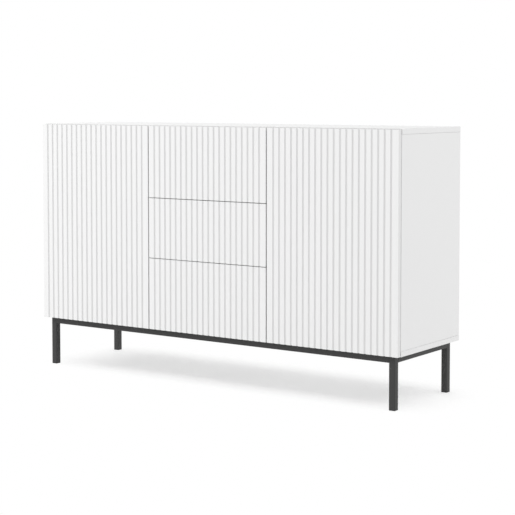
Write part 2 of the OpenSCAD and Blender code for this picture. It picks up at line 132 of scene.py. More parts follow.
# The shadow is whole as far as its core on either side of its middle, and is gone at its end.
shadow_middle = (0.03, 0.045, 0)
shadow_core = (0.54, 0.12, 0)
shadow_end = (0.85, 0.26, 1)
centred = add_node(tree, "ShaderNodeVectorMath", {"operation": "SUBTRACT"}, i0=place, i1=shadow_middle)
mirrored = add_node(tree, "ShaderNodeVectorMath", {"operation": "ABSOLUTE"}, i0=centred.outputs[0])
kept = add_node(tree, "ShaderNodeMapRange", {"data_type": "FLOAT_VECTOR"}, Vector=mirrored.outputs[0],
                i7=shadow_core, i8=shadow_end, i9=(1, 1, 1), i10=(0, 0, 0))
kept_along = add_node(tree, "ShaderNodeSeparateXYZ", i0=kept.outputs["Vector"])
shadow = add_node(tree, "ShaderNodeMath", {"operation": "MULTIPLY"},
                  i0=kept_along.outputs["X"], i1=kept_along.outputs["Y"])
lift = add_node(tree, "ShaderNodeMath", {"operation": "SUBTRACT"}, i0=1.0, i1=shadow.outputs[0])
glow_share = add_node(tree, "ShaderNodeMath", {"operation": "MULTIPLY"},
                      i0=lift.outputs[0], i1=seen_directly(tree))
matt = add_node(tree, "ShaderNodeBsdfDiffuse", Color=matt_white)
lamp_share = add_node(tree, "ShaderNodeEmission", Strength=lamp_glow)
bounced = add_node(tree, "ShaderNodeAddShader", i0=matt.outputs[0], i1=lamp_share.outputs[0])
bright = add_node(tree, "ShaderNodeBsdfDiffuse", Color=shown_white)
shown = add_node(tree, "ShaderNodeMixShader", Fac=seen_directly(tree),
                 i1=bounced.outputs[0], i2=bright.outputs[0])
glow = add_node(tree, "ShaderNodeEmission", Strength=1.0)
mixed = add_node(tree, "ShaderNodeMixShader", Fac=glow_share.outputs[0],
                 i1=shown.outputs[0], i2=glow.outputs[0])
add_node(tree, "ShaderNodeOutputMaterial", Surface=mixed.outputs[0])
floor.data.materials.append(floor_paint)
floor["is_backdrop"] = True

# The room is an even pale light all round. A large soft lamp above the left end of the front shades
# the flutes and leaves the right side board a tone darker; a weak one to the right lifts that side.
room_strength = 0.83
world = bpy.data.worlds.new("white_room")
bpy.context.scene.world = world
world.use_nodes = True
tree = world.node_tree
tree.nodes.clear()
room_light = add_node(tree, "ShaderNodeBackground", Strength=room_strength, Color=(1, 1, 1, 1))
backdrop = add_node(tree, "ShaderNodeBackground", Strength=1.0, Color=(1, 1, 1, 1))
room = add_node(tree, "ShaderNodeMixShader", Fac=seen_directly(tree),
                i1=room_light.outputs[0], i2=backdrop.outputs[0])
add_node(tree, "ShaderNodeOutputWorld", Surface=room.outputs[0])

all_but_floor = bpy.data.collections.new("all_but_floor")
all_but_floor.objects.link(floor)
all_but_floor.collection_objects[0].light_linking.link_state = "EXCLUDE"
key_place, key_aim, key_power = (-5.1, -3.88, 4.38), (-0.3, -0.2, 0.55), 222
fill_place, fill_aim, fill_power = (4.6, 0.6, 1.2), (0.75, 0, 0.5), 14
lamp_width = 1.6
for name, place, aim, power in (("soft_key", key_place, key_aim, key_power),
                                ("side_fill", fill_place, fill_aim, fill_power)):
    way = Vector(aim) - Vector(place)
    bpy.ops.object.light_add(type="AREA", location=place, rotation=way.to_track_quat("-Z", "Y").to_euler())
    lamp = bpy.context.object
    lamp.name = name
    lamp.data.shape = "DISK"
    lamp.data.size = lamp_width
    lamp.data.energy = power
    lamp.light_linking.receiver_collection = all_but_floor


# ---- Steel frame ----
# A welded frame of 22 mm square steel tube with a 1.5 mm wall: four legs, long rails in front and
# behind, short rails at the sides. It is ground flush outside and powder coated in black.
tube_wall = 0.0015
tube_corner = 0.002
corner_steps = 5


def new_block(name, low, high):
    """A box between two corners, its object at the origin."""
    bpy.ops.object.select_all(action="DESELECT")
    bpy.ops.mesh.primitive_cube_add(size=1, location=[(a + b) / 2 for a, b in zip(low, high)])
    block = bpy.context.object
    block.name = name
    block.scale = [b - a for a, b in zip(low, high)]
    bpy.ops.object.transform_apply(location=True, rotation=True, scale=True)
    return block


def make_active(piece):
    """Selects the piece alone."""
    bpy.ops.object.select_all(action="DESELECT")
    piece.select_set(True)
    bpy.context.view_layer.objects.active = piece


def apply_modifier(piece, kind, **settings):
    """Adds a modifier with its settings and applies it."""
    make_active(piece)
    modifier = piece.modifiers.new(kind.lower(), kind)
    for key, value in settings.items():
        setattr(modifier, key, value)
    bpy.ops.object.modifier_apply(modifier=modifier.name)


def pick(piece, kind, wanted):
    """Opens the piece in edit mode with only the faces or edges selected that are wanted."""
    make_active(piece)
    bpy.ops.object.mode_set(mode="EDIT")
    bpy.ops.mesh.select_mode(type=kind)
    bpy.ops.mesh.select_all(action="DESELECT")
    bpy.ops.object.mode_set(mode="OBJECT")
    for part in piece.data.polygons if kind == "FACE" else piece.data.edges:
        part.select = wanted(part)
    bpy.ops.object.mode_set(mode="EDIT")


def round_corners(piece, axis, radius):
    """Rounds the block's four edges that run along the axis."""
    def runs_along(edge):
        start, end = (piece.data.vertices[i].co for i in edge.vertices)
        return abs((start - end).normalized()["xyz".index(axis)]) > 0.99

    pick(piece, "EDGE", runs_along)
    bpy.ops.mesh.bevel(offset=radius, segments=corner_steps, affect="EDGES")
    bpy.ops.object.mode_set(mode="OBJECT")


def smooth_shading(piece, angle=30):
    """Shades the piece smooth, except across edges sharper than the angle."""
    make_active(piece)
    bpy.ops.object.shade_smooth_by_angle(angle=math.radians(angle))


def soften(piece, radius, steps=2, corner=50):
    """Rounds the piece's sharp edges and shades it smooth between them, its large faces flat."""
    apply_modifier(piece, "BEVEL", width=radius, segments=steps, limit_method="ANGLE",
                   angle_limit=math.radians(corner))
    smooth_shading(piece)
    apply_modifier(piece, "WEIGHTED_NORMAL", keep_sharp=True)


def finish_piece(piece, material, body, slot, *replaced):
    """Gives the piece its material and body, and hides the nodes that it stands for."""
    if material:
        piece.data.materials.clear()
        piece.data.materials.append(material)
    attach(piece, body)
    if replaced:
        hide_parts(*replaced)


def finish_skin(tree, colours, blotches, relief, bump, depth, roughness, **surface):
    """Ends a material: blotches mix its two colours, and its relief gives the bump and the sheen.

    A pair of roughness values follows the relief from low to high; a single one is even.
    """
    tint = add_node(tree, "ShaderNodeMix", {"data_type": "RGBA"}, i0=blotches,
                    i6=linear(colours[0]), i7=linear(colours[1]))
    if isinstance(roughness, tuple):
        gloss = add_node(tree, "ShaderNodeMapRange", Value=relief, To_Min=roughness[0], To_Max=roughness[1])
        roughness = gloss.outputs["Result"]
    raised = add_node(tree, "ShaderNodeBump", Strength=bump, Distance=depth, Height=relief)
    skin = add_node(tree, "ShaderNodeBsdfPrincipled", Base_Color=tint.outputs[2], Roughness=roughness,
                    Normal=raised.outputs[0], **surface)
    add_node(tree, "ShaderNodeOutputMaterial", Surface=skin.outputs[0])


def black_powder_coat():
    """Polyester powder baked on steel: black, with a fine sandy grain that dulls its sheen."""
    material, tree, place = new_material("black_powder_coat")
    grain_size = 0.0006
    grain = add_node(tree, "ShaderNodeTexNoise", Vector=place, Scale=1 / grain_size, Detail=3)
    drift = add_node(tree, "ShaderNodeTexNoise", Vector=place, Scale=14, Detail=2)
    finish_skin(tree, ("#121212", "#181817"), drift.outputs["Fac"], grain.outputs["Fac"],
                bump=0.35, depth=0.0001, roughness=(0.5, 0.68), IOR=1.66)
    return material


powder_coat = black_powder_coat()


def square_tube(name, node, axis):
    """A tube the size of its CAD node with rounded corners, open at both ends."""
    tube = new_block(name, *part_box(node))
    round_corners(tube, axis, tube_corner)
    pick(tube, "FACE", lambda face: abs(face.normal["xyz".index(axis)]) > 0.9)
    bpy.ops.mesh.delete(type="FACE")
    bpy.ops.object.mode_set(mode="OBJECT")
    apply_modifier(tube, "SOLIDIFY", thickness=tube_wall, offset=-1, use_even_offset=True)
    smooth_shading(tube)
    finish_piece(tube, powder_coat, "carcass", "black_steel", node)


legs = ["leg_" + place + "_" + side for place in ("front", "back") for side in ("left", "right")]
for leg in legs:
    square_tube("coated_" + leg, leg, "z")
for rail, axis in (("rail_front", "x"), ("rail_back", "x"), ("rail_left", "y"), ("rail_right", "y")):
    square_tube("coated_" + rail, rail, axis)


# ---- Welds ----
# Short beads on the hidden inner sides of the corners and along the tabs, where grinding isn't needed.
# Each is the row of overlapping ripples that a welding torch leaves.
bead_radius = 0.0016
bead_step = 0.0011
bead_sink = 0.0004
bead_voxel = 0.00045


def joined(pieces):
    """Joins the pieces into the first one."""
    bpy.ops.object.select_all(action="DESELECT")
    for piece in pieces:
        piece.select_set(True)
    bpy.context.view_layer.objects.active = pieces[0]
    bpy.ops.object.join()
    return pieces[0]


def weld_bead(start, axis, length):
    """A row of ripples from start along the axis."""
    bpy.ops.object.select_all(action="DESELECT")
    bpy.ops.mesh.primitive_uv_sphere_add(segments=10, ring_count=7, radius=bead_radius, location=start)
    bead = bpy.context.object
    bpy.ops.object.transform_apply(location=True)
    step = [bead_step if letter == axis else 0 for letter in "xyz"]
    apply_modifier(bead, "ARRAY", count=round(length / bead_step), use_relative_offset=False,
                   use_constant_offset=True, constant_offset_displace=step)
    return bead


tab_low, tab_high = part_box("frame_tabs")
tab_size = 0.034
tab_rows = (tab_low[1] + tab_size / 2, tab_high[1] - tab_size / 2)
tab_columns = (tab_low[0] + tab_size / 2, 0, tab_high[0] - tab_size / 2)
rail_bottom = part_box("rail_front")[0][2]
leg_bead_gap = 0.002
tab_bead_gap = 0.003
beads = []
for leg in legs:
    low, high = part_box(leg)
    inner_x = low[0] if low[0] > 0 else high[0]
    inner_y = low[1] if low[1] > 0 else high[1]
    for corner in ((inner_x, inner_y - math.copysign(bead_sink, inner_y)),
                   (inner_x - math.copysign(bead_sink, inner_x), inner_y)):
        beads.append(weld_bead((*corner, rail_bottom + leg_bead_gap), "z",
                               high[2] - rail_bottom - 2 * leg_bead_gap))
for row in (tab_low[1], tab_high[1]):
    for column in tab_columns:
        beads.append(weld_bead((column - tab_size / 2 + tab_bead_gap, row, tab_low[2]), "x",
                               tab_size - 2 * tab_bead_gap))
welds = joined(beads)
welds.name = "frame_welds"
apply_modifier(welds, "REMESH", mode="VOXEL", voxel_size=bead_voxel)
smooth_shading(welds, angle=60)
finish_piece(welds, powder_coat, "carcass", "black_steel")


# ---- Tabs and their screws ----
# Six 3 mm steel plates are welded inside the long rails; a zinc-plated pan-head screw goes up through
# each into the bottom board and holds the carcass down on the frame.
tab_corner = 0.004
tab_edge = 0.0004
tab_hole_radius = 0.0025
tab_screw_radius = 0.002
tab_screw_head = 0.0045
drill_spare = 0.001


def new_rod(name, start, axis, length, radius, sides=32):
    """A cylinder from start along +X, +Y or +Z, its object at the origin."""
    turn = {"x": (0, math.pi / 2, 0), "y": (math.pi / 2, 0, 0), "z": (0, 0, 0)}[axis]
    centre = list(start)
    centre["xyz".index(axis)] += length / 2
    bpy.ops.object.select_all(action="DESELECT")
    bpy.ops.mesh.primitive_cylinder_add(vertices=sides, radius=radius, depth=length,
                                        location=centre, rotation=turn)
    rod = bpy.context.object
    rod.name = name
    bpy.ops.object.transform_apply(location=True, rotation=True, scale=True)
    return rod


def cut_away(piece, *cutters):
    """Cuts the cutters' shape out of the piece and throws the cutters away."""
    cutter = joined(list(cutters))
    apply_modifier(piece, "BOOLEAN", operation="DIFFERENCE", solver="EXACT", use_self=True, object=cutter)
    bpy.data.objects.remove(cutter)


def repeat(piece, placings):
    """Copies the piece to every placing, a matrix, and joins the copies into one piece of its name."""
    name = piece.name
    piece.name = "pattern"
    copies = []
    for placing in placings:
        copy = bpy.data.objects.new(name, piece.data.copy())
        bpy.context.scene.collection.objects.link(copy)
        copy.data.transform(placing)
        if placing.is_negative:
            copy.data.flip_normals()
        copies.append(copy)
    bpy.data.objects.remove(piece)
    return joined(copies)


def cross_screw(name, head_radius, head_height, shaft_radius, shaft_length):
    """A pan-head screw with a cross recess, standing on its head's underside at the origin.

    Its sizes are the head's radius and height, then the shaft's radius and length.
    """
    head = new_rod(name, (0, 0, 0), "z", head_height, head_radius, sides=28)
    soften(head, head_height * 0.45, steps=3)
    reach, width, depth = head_radius * 0.55, head_radius * 0.17, head_height * 0.6
    cut_away(head, *(new_block("slot", (-a, -b, head_height - depth), (a, b, head_height + drill_spare))
                     for a, b in ((reach, width), (width, reach))))
    shaft = new_rod("shaft", (0, 0, -shaft_length), "z", shaft_length, shaft_radius, sides=20)
    return joined([head, shaft])


def plated_steel(name, dark, pale, rough, unevenness):
    """Plated sheet steel: a bright metal with faint rolling lines along its length."""
    material, tree, place = new_material(name)
    line_gap = 0.0008
    stretched = add_node(tree, "ShaderNodeMapping", Vector=place, Scale=(1, 0.04, 1))
    lines = add_node(tree, "ShaderNodeTexNoise", Vector=stretched.outputs[0], Scale=1 / line_gap, Detail=3)
    cloud = add_node(tree, "ShaderNodeTexNoise", Vector=place, Scale=60, Detail=3)
    finish_skin(tree, (dark, pale), cloud.outputs["Fac"], lines.outputs["Fac"], bump=unevenness,
                depth=0.0001, roughness=(rough - unevenness, rough + unevenness), Metallic=1.0)
    return material


# Bright zinc: a cool, slightly cloudy silver. Satin nickel: a warmer and smoother one.
zinc_plate = plated_steel("zinc_plated_steel", "#a9adb1", "#c3c6c9", 0.36, 0.06)
nickel_plate = plated_steel("nickel_plated_steel", "#bfbbb4", "#cbc8c2", 0.3, 0.015)

tabs = new_block("welded_frame_tabs", (-tab_size / 2, -tab_size / 2, tab_low[2]),
                 (tab_size / 2, tab_size / 2, tab_high[2]))
round_corners(tabs, "z", tab_corner)
cut_away(tabs, new_rod("hole", (0, 0, tab_low[2] - drill_spare), "z",
                       tab_high[2] - tab_low[2] + 2 * drill_spare, tab_hole_radius))
soften(tabs, tab_edge)
tab_places = [Matrix.Translation((column, row, 0)) for column in tab_columns for row in tab_rows]
tabs = repeat(tabs, tab_places)
finish_piece(tabs, powder_coat, "carcass", "black_steel", "frame_tabs")

screw_low, screw_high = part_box("frame_screws")
screws = cross_screw("frame_board_screws", tab_screw_head, tab_low[2] - screw_low[2], tab_screw_radius,
                     screw_high[2] - tab_low[2])
upwards = Matrix.Translation((0, 0, tab_low[2])) @ Matrix.Rotation(math.pi, 4, "X")
screws = repeat(screws, [place @ upwards for place in tab_places])
finish_piece(screws, zinc_plate, "carcass", "zinc_steel", "frame_screws")


# ---- Leg glides ----
# Black plastic plugs, moulded with a flange the size of the tube, pressed into the legs' lower ends.
# They carry the sideboard and keep the steel off the floor.
glide_edge = 0.0008
plug_gap = 0.0001
plug_edge = 0.001
plug_overlap = 0.0005


def moulded_plastic(name, dark, pale, rough):
    """Injection-moulded plastic, spark-eroded finish: an even matt skin with a very fine grain."""
    material, tree, place = new_material(name)
    grain_size = 0.0005
    spread = 0.05
    grain = add_node(tree, "ShaderNodeTexNoise", Vector=place, Scale=1 / grain_size, Detail=2)
    flow = add_node(tree, "ShaderNodeTexNoise", Vector=place, Scale=30, Detail=2)
    finish_skin(tree, (dark, pale), flow.outputs["Fac"], grain.outputs["Fac"], bump=0.2, depth=0.00005,
                roughness=(rough - spread, rough + spread), IOR=1.49)
    return material


glides = []
glide_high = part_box("leg_glides")[1][2]
for leg in legs:
    low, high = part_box(leg)
    glide = new_block("pressed_leg_glides", (low[0], low[1], 0), (high[0], high[1], low[2]))
    round_corners(glide, "z", tube_corner)
    soften(glide, glide_edge)
    inset = tube_wall + plug_gap
    plug = new_block("plug", (low[0] + inset, low[1] + inset, low[2] - plug_overlap),
                     (high[0] - inset, high[1] - inset, glide_high))
    soften(plug, plug_edge, steps=1)
    glides += [glide, plug]
glides = joined(glides)
black_plastic = moulded_plastic("black_polypropylene", "#19191a", "#1f1f20", 0.5)
finish_piece(glides, black_plastic, "carcass", "black_plastic", "leg_glides")


# ---- Carcass boards ----
# Top, bottom, sides and two partitions of 18 mm chipboard faced with matt white melamine, edges
# banded with 2 mm white ABS and rounded; the long front edges, all but hidden by the fronts, have a
# greyer band, painted shade for the shadow line above the fronts. Cams and dowels pull them together;
# rows of 5 mm holes take the shelf pins.
band_radius = 0.0015


def white_melamine(dark, pale):
    """Melamine paper pressed on chipboard: an even white with a fine pearl texture and a soft sheen."""
    material, tree, place = new_material("white_melamine")
    pearl_size = 0.0014
    pearl = add_node(tree, "ShaderNodeTexVoronoi", {"feature": "SMOOTH_F1"}, Vector=place,
                     Scale=1 / pearl_size)
    cloud = add_node(tree, "ShaderNodeTexNoise", Vector=place, Scale=3, Detail=3)
    finish_skin(tree, (dark, pale), cloud.outputs["Fac"], pearl.outputs["Distance"], bump=0.05,
                depth=0.0002, roughness=(0.4, 0.5), IOR=1.5)
    return material


def raw_chipboard():
    """Pressed wood chips, bare in drilled holes and grooves: a rough mottle of tan and brown flakes."""
    material, tree, place = new_material("raw_chipboard")
    chip_size = 0.0018
    chips = add_node(tree, "ShaderNodeTexVoronoi", Vector=place, Scale=1 / chip_size)
    finish_skin(tree, ("#8d6f4c", "#c6a87f"), chips.outputs["Color"], chips.outputs["Distance"],
                bump=0.5, depth=0.0003, roughness=0.85)
    return material


white_pair = ("#e9e9e9", "#ebebeb")
melamine = white_melamine(*white_pair)
edge_band = moulded_plastic("white_abs_edge_band", *white_pair, 0.4)
painted_shade_band = moulded_plastic("abs_front_band_painted_shade", "#dcdcdc", "#dedede", 0.4)
chipboard = raw_chipboard()
board_materials = (melamine, edge_band, chipboard, painted_shade_band)


def banded_board(name, node, across):
    """A board the size of its CAD node, faced across one axis and banded on its other sides."""
    board = new_block(name, *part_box(node))
    for material in board_materials:
        board.data.materials.append(material)
    soften(board, band_radius)
    for face in board.data.polygons:
        if abs(face.normal["xyz".index(across)]) > 0.99:
            face.material_index = board_materials.index(melamine)
        else:
            # The front faces of boards faced across z take the greyer band, painted shade.
            painted_shade_front = across == "z" and face.normal.y < -0.5
            face.material_index = board_materials.index(painted_shade_band if painted_shade_front else edge_band)
    return board


def bare_inside(cutter):
    """Marks a cutter so that what it cuts shows bare chipboard."""
    for material in board_materials:
        cutter.data.materials.append(material)
    for face in cutter.data.polygons:
        face.material_index = board_materials.index(chipboard)
    return cutter


def drills(places, axis, depth, radius):
    """Cutters for blind holes of one size, from each place along the axis."""
    return [bare_inside(new_rod("drill", place, axis, depth, radius, sides=24)) for place in places]


# Each upright has one drilled face that looks into a cupboard: 1 for its right face, -1 for its left.
uprights = ("side_left", "partition_left", "partition_right", "side_right")
facings = (1, -1, 1, -1)
middles = [sum(corner[0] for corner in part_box(node)) / 2 for node in uprights]

cam_radius = 0.0075
cam_depth = 0.0125
cam_low, cam_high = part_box("cam_locks")
cam_rows = (cam_low[1] + cam_radius, cam_high[1] - cam_radius)
cam_levels = (cam_low[2] + cam_radius, cam_high[2] - cam_radius)
bolt_radius = 0.003
bolt_thread_radius = 0.0025
bolt_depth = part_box("cam_bolts")[1][2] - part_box("top_board")[0][2]
dowel_radius = 0.004
dowel_length = 0.03
dowel_step = 0.032
dowel_rows = [y + dowel_step for y in cam_rows]
pin_radius = 0.0025
pin_depth = 0.01
pin_pitch = 0.032
pin_low, pin_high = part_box("shelf_pins")
pin_rows = (pin_low[1] + pin_radius, pin_high[1] - pin_radius)
pin_levels = [pin_low[2] + pin_radius + step * pin_pitch for step in (-2, -1, 0, 1, 2)]
panel_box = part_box("back_panels")

for node in ("top_board", "bottom_board"):
    board = banded_board("faced_" + node, node, "z")
    low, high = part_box(node)
    inner_z = low[2] if node == "top_board" else high[2]
    sink = 0 if node == "top_board" else 1
    cutters = [bare_inside(new_block("groove", *panel_box))]
    cutters += drills([(x, y, inner_z - sink * bolt_depth) for x in middles for y in cam_rows], "z",
                      bolt_depth, bolt_thread_radius)
    cutters += drills([(x, y, inner_z - sink * dowel_length / 2) for x in middles for y in dowel_rows], "z",
                      dowel_length / 2, dowel_radius)
    if node == "bottom_board":
        cutters += drills([(x, y, low[2]) for x in tab_columns for y in tab_rows], "z",
                          screw_high[2] - low[2], tab_screw_radius)
    cut_away(board, *cutters)
    finish_piece(board, None, "carcass", "white_board", node)

for node, middle, facing in zip(uprights, middles, facings):
    board = banded_board("faced_" + node, node, "x")
    low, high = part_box(node)
    cutters = []
    for depth, radius, rows, heights in ((cam_depth, cam_radius, cam_rows, cam_levels),
                                         (pin_depth, pin_radius, pin_rows, pin_levels)):
        start = high[0] - depth if facing > 0 else low[0] - drill_spare
        cutters += drills([(start, y, z) for y in rows for z in heights], "x", depth + drill_spare, radius)
    cut_away(board, *cutters)
    cutters = drills([(middle, y, low[2] - drill_spare) for y in cam_rows], "z",
                     cam_levels[0] - low[2] + drill_spare, bolt_radius)
    cutters += drills([(middle, y, cam_levels[1]) for y in cam_rows], "z",
                      high[2] - cam_levels[1] + drill_spare, bolt_radius)
    for base in (low[2] - drill_spare, high[2] - dowel_length / 2):
        cutters += drills([(middle, y, base) for y in dowel_rows], "z", dowel_length / 2 + drill_spare,
                          dowel_radius)
    if node.startswith("side"):
        cutters.append(bare_inside(new_block("groove", *panel_box)))
    cut_away(board, *cutters)
    finish_piece(board, None, "carcass", "white_board", node)


# ---- Cams, bolts and dowels ----
# Turning a die-cast zinc cam in the upright board draws the head of a steel bolt that is screwed into
# the top or bottom board. Fluted beech dowels beside them keep the boards in line.
cam_edge = 0.0003
cam_slot_half = 0.0008
cam_slot_reach = 0.6 * cam_radius
cam_slot_depth = 0.002


def cast_zinc():
    """Die-cast zinc alloy: a dull grey metal with a slightly grainy cast skin."""
    material, tree, place = new_material("die_cast_zinc")
    grain_size = 0.0007
    grain = add_node(tree, "ShaderNodeTexNoise", Vector=place, Scale=1 / grain_size, Detail=4)
    finish_skin(tree, ("#9a9c9e", "#b4b6b8"), grain.outputs["Fac"], grain.outputs["Fac"],
                bump=0.3, depth=0.0001, roughness=0.42, Metallic=1.0)
    return material


cams = new_rod("cast_cam_locks", (-cam_depth, 0, 0), "x", cam_depth, cam_radius, sides=40)
soften(cams, cam_edge, steps=1)
cut_away(cams, *(new_block("slot", (-cam_slot_depth, -a, -b), (drill_spare, a, b))
                 for a, b in ((cam_slot_reach, cam_slot_half), (cam_slot_half, cam_slot_reach))))
board_half = (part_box("side_left")[1][0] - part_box("side_left")[0][0]) / 2
cut_away(cams, new_rod("bore", (-board_half, 0, -cam_radius - drill_spare), "z",
                       2 * (cam_radius + drill_spare), bolt_radius, sides=24))
cam_places = []
for middle, facing in zip(middles, facings):
    turned = Matrix.Rotation(0 if facing > 0 else math.pi, 4, "Z")
    cam_places += [Matrix.Translation((middle + facing * board_half, y, z)) @ turned
                   for y in cam_rows for z in cam_levels]
cams = repeat(cams, cam_places)
smooth_shading(cams)
finish_piece(cams, cast_zinc(), "carcass", "zinc_alloy", "cam_locks")

# The bolts keep their solids' own shape.
nodes["cam_bolts"].data.materials.clear()
nodes["cam_bolts"].data.materials.append(zinc_plate)


def beech():
    """Turned beech: pale reddish tan with fine short darker flecks along the grain."""
    material, tree, place = new_material("plain_beech")
    along_grain = add_node(tree, "ShaderNodeMapping", Vector=place, Scale=(1, 1, 0.12))
    fleck_size = 0.0007
    flecks = add_node(tree, "ShaderNodeTexNoise", Vector=along_grain.outputs[0], Scale=1 / fleck_size,
                      Detail=4)
    finish_skin(tree, ("#b98f5f", "#dcb98a"), flecks.outputs["Fac"], flecks.outputs["Fac"],
                bump=0.2, depth=0.0001, roughness=0.6)
    return material


dowel_flutes = 12
dowel_flute_radius = 0.0005
dowel_flute_out = 0.0002
dowel_end_radius = 0.001
dowels = new_rod("fluted_dowels", (0, 0, -dowel_length / 2), "z", dowel_length, dowel_radius,
                 sides=2 * dowel_flutes)
soften(dowels, dowel_end_radius, steps=1)
groove = new_rod("groove", (dowel_radius + dowel_flute_out, 0, -dowel_length / 2 - drill_spare), "z",
                 dowel_length + 2 * drill_spare, dowel_flute_radius, sides=8)
cut_away(dowels, repeat(groove, [Matrix.Rotation(math.tau * turn / dowel_flutes, 4, "Z")
                                 for turn in range(dowel_flutes)]))
joints_z = (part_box("bottom_board")[1][2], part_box("top_board")[0][2])
dowels = repeat(dowels, [Matrix.Translation((x, y, z))
                         for x in middles for y in dowel_rows for z in joints_z])
finish_piece(dowels, beech(), "carcass", "beech", "dowels")


# ---- Back panels ----
# Three 3 mm fibreboard panels, lacquered white, slide into a groove round the carcass. Two white
# plastic H-strips behind the partitions hold their meeting edges.
panel_edge = 0.0002
strip_wide = 0.02
strip_wall = 0.0012
strip_edge = 0.0003


def lacquered_fibreboard():
    """Thin fibreboard with a rolled white lacquer: flat and matt, with a faint fibrous unevenness."""
    material, tree, place = new_material("white_lacquered_fibreboard")
    fibre_size = 0.002
    stretched = add_node(tree, "ShaderNodeMapping", Vector=place, Scale=(1, 1, 0.3))
    fibres = add_node(tree, "ShaderNodeTexNoise", Vector=stretched.outputs[0], Scale=1 / fibre_size,
                      Detail=4)
    cloud = add_node(tree, "ShaderNodeTexNoise", Vector=place, Scale=6, Detail=3)
    finish_skin(tree, ("#e6e6e3", "#ececea"), cloud.outputs["Fac"], fibres.outputs["Fac"],
                bump=0.12, depth=0.0002, roughness=(0.5, 0.66), IOR=1.5)
    return material


fibreboard = lacquered_fibreboard()
low, high = panel_box
strip_low, strip_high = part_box("back_joiners")
seams = (strip_low[0] + strip_wide / 2, strip_high[0] - strip_wide / 2)
spans = ((low[0], seams[0] - strip_wall / 2), (seams[0] + strip_wall / 2, seams[1] - strip_wall / 2),
         (seams[1] + strip_wall / 2, high[0]))
for place, (x0, x1) in zip(("left", "middle", "right"), spans):
    panel = new_block("back_panel_" + place, (x0, low[1], low[2]), (x1, high[1], high[2]))
    soften(panel, panel_edge, steps=1)
    finish_piece(panel, fibreboard, "carcass", "white_fibreboard", "back_panels")

white_plastic = moulded_plastic("white_moulded_plastic", "#e6e6e4", "#eaeae8", 0.42)
strips = []
for seam in seams:
    strip = new_block("back_joiner_strips", (seam - strip_wide / 2, strip_low[1], strip_low[2]),
                      (seam + strip_wide / 2, strip_high[1], strip_high[2]))
    soften(strip, strip_edge)
    channels = []
    for side in (-1, 1):
        x0, x1 = sorted((seam + side * strip_wall / 2, seam + side * strip_wide))
        channels.append(new_block("channel", (x0, low[1], strip_low[2] - drill_spare),
                                  (x1, high[1], strip_high[2] + drill_spare)))
    cut_away(strip, *channels)
    strips.append(strip)
finish_piece(joined(strips), white_plastic, "carcass", "white_plastic", "back_joiners")


# ---- Shelves ----
# One loose 18 mm shelf in each cupboard, banded like the carcass, resting on four zinc-plated steel
# pins that are pushed into the rows of holes.
for side in ("left", "right"):
    shelf = banded_board("loose_shelf_" + side, "shelf_" + side, "z")
    finish_piece(shelf, None, "carcass", "white_board", "shelf_" + side)

pin_out_at_side = 0.008
pin_end_radius = 0.0005
pins = []
for node, facing in zip(uprights, facings):
    low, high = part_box(node)
    stands_out = pin_out_at_side if node.startswith("side") else pin_depth
    start = high[0] - pin_depth if facing > 0 else low[0] - stands_out
    pins += [new_rod("pushed_shelf_pins", (start, y, pin_levels[2]), "x", pin_depth + stands_out,
                     pin_radius, sides=24) for y in pin_rows]
pins = joined(pins)
soften(pins, pin_end_radius)
finish_piece(pins, zinc_plate, "carcass", "zinc_steel", "shelf_pins")


# ---- Fluted fronts ----
# Doors and drawer fronts are 16 mm MDF, fluted full height with a round-nosed cutter and wrapped
# in a matt white foil, which rounds every arris a little and has a faint orange-peel surface.
flute_pitch = 0.02337
flute_count = 20
cutter_radius = 0.0045
flute_depth = 0.0032
cutter_spare = 0.02
foil_radius = 0.0008
levels = ("top", "middle", "bottom")


def white_foil(name, dark, pale):
    """Matt PVC foil on MDF, thermoformed: an even white with a soft sheen and a faint orange peel."""
    material, tree, place = new_material(name)
    peel_size = 0.0012
    peel = add_node(tree, "ShaderNodeTexNoise", Vector=place, Scale=1 / peel_size, Detail=2)
    cloud = add_node(tree, "ShaderNodeTexNoise", Vector=place, Scale=4, Detail=3)
    finish_skin(tree, (dark, pale), cloud.outputs["Fac"], peel.outputs["Fac"], bump=0.06, depth=0.0002,
                roughness=(0.56, 0.66), IOR=1.5)
    return material


# In the flutes and on the edges the foil is a tone greyer: painted shade for the flutes and for the gaps
# between the fronts.
flat_foil = white_foil("matt_white_foil", *white_pair)
painted_shade_foil = white_foil("white_foil_painted_shade", "#e2e2e2", "#e4e4e4")
foils = (flat_foil, painted_shade_foil)


def fluted_front(name, node):
    """A front the size of its CAD node, fluted on the side that faces the room."""
    low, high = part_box(node)
    front = new_block(name, low, high)
    first = (low[0] + high[0]) / 2 - flute_pitch * (flute_count - 1) / 2
    cutter = new_rod("cutter", (first, low[1] + flute_depth - cutter_radius, low[2] - cutter_spare), "z",
                     high[2] - low[2] + 2 * cutter_spare, cutter_radius)
    apply_modifier(cutter, "ARRAY", count=flute_count, use_relative_offset=False,
                   use_constant_offset=True, constant_offset_displace=(flute_pitch, 0, 0))
    # The flutes and the edges take the greyer foil, painted shade; the flat face keeps the plain foil.
    for piece in (front, cutter):
        for layer in foils:
            piece.data.materials.append(layer)
        for face in piece.data.polygons:
            flat = piece == front and abs(face.normal.y) > 0.5
            face.material_index = foils.index(flat_foil if flat else painted_shade_foil)
    cut_away(front, cutter)
    return front


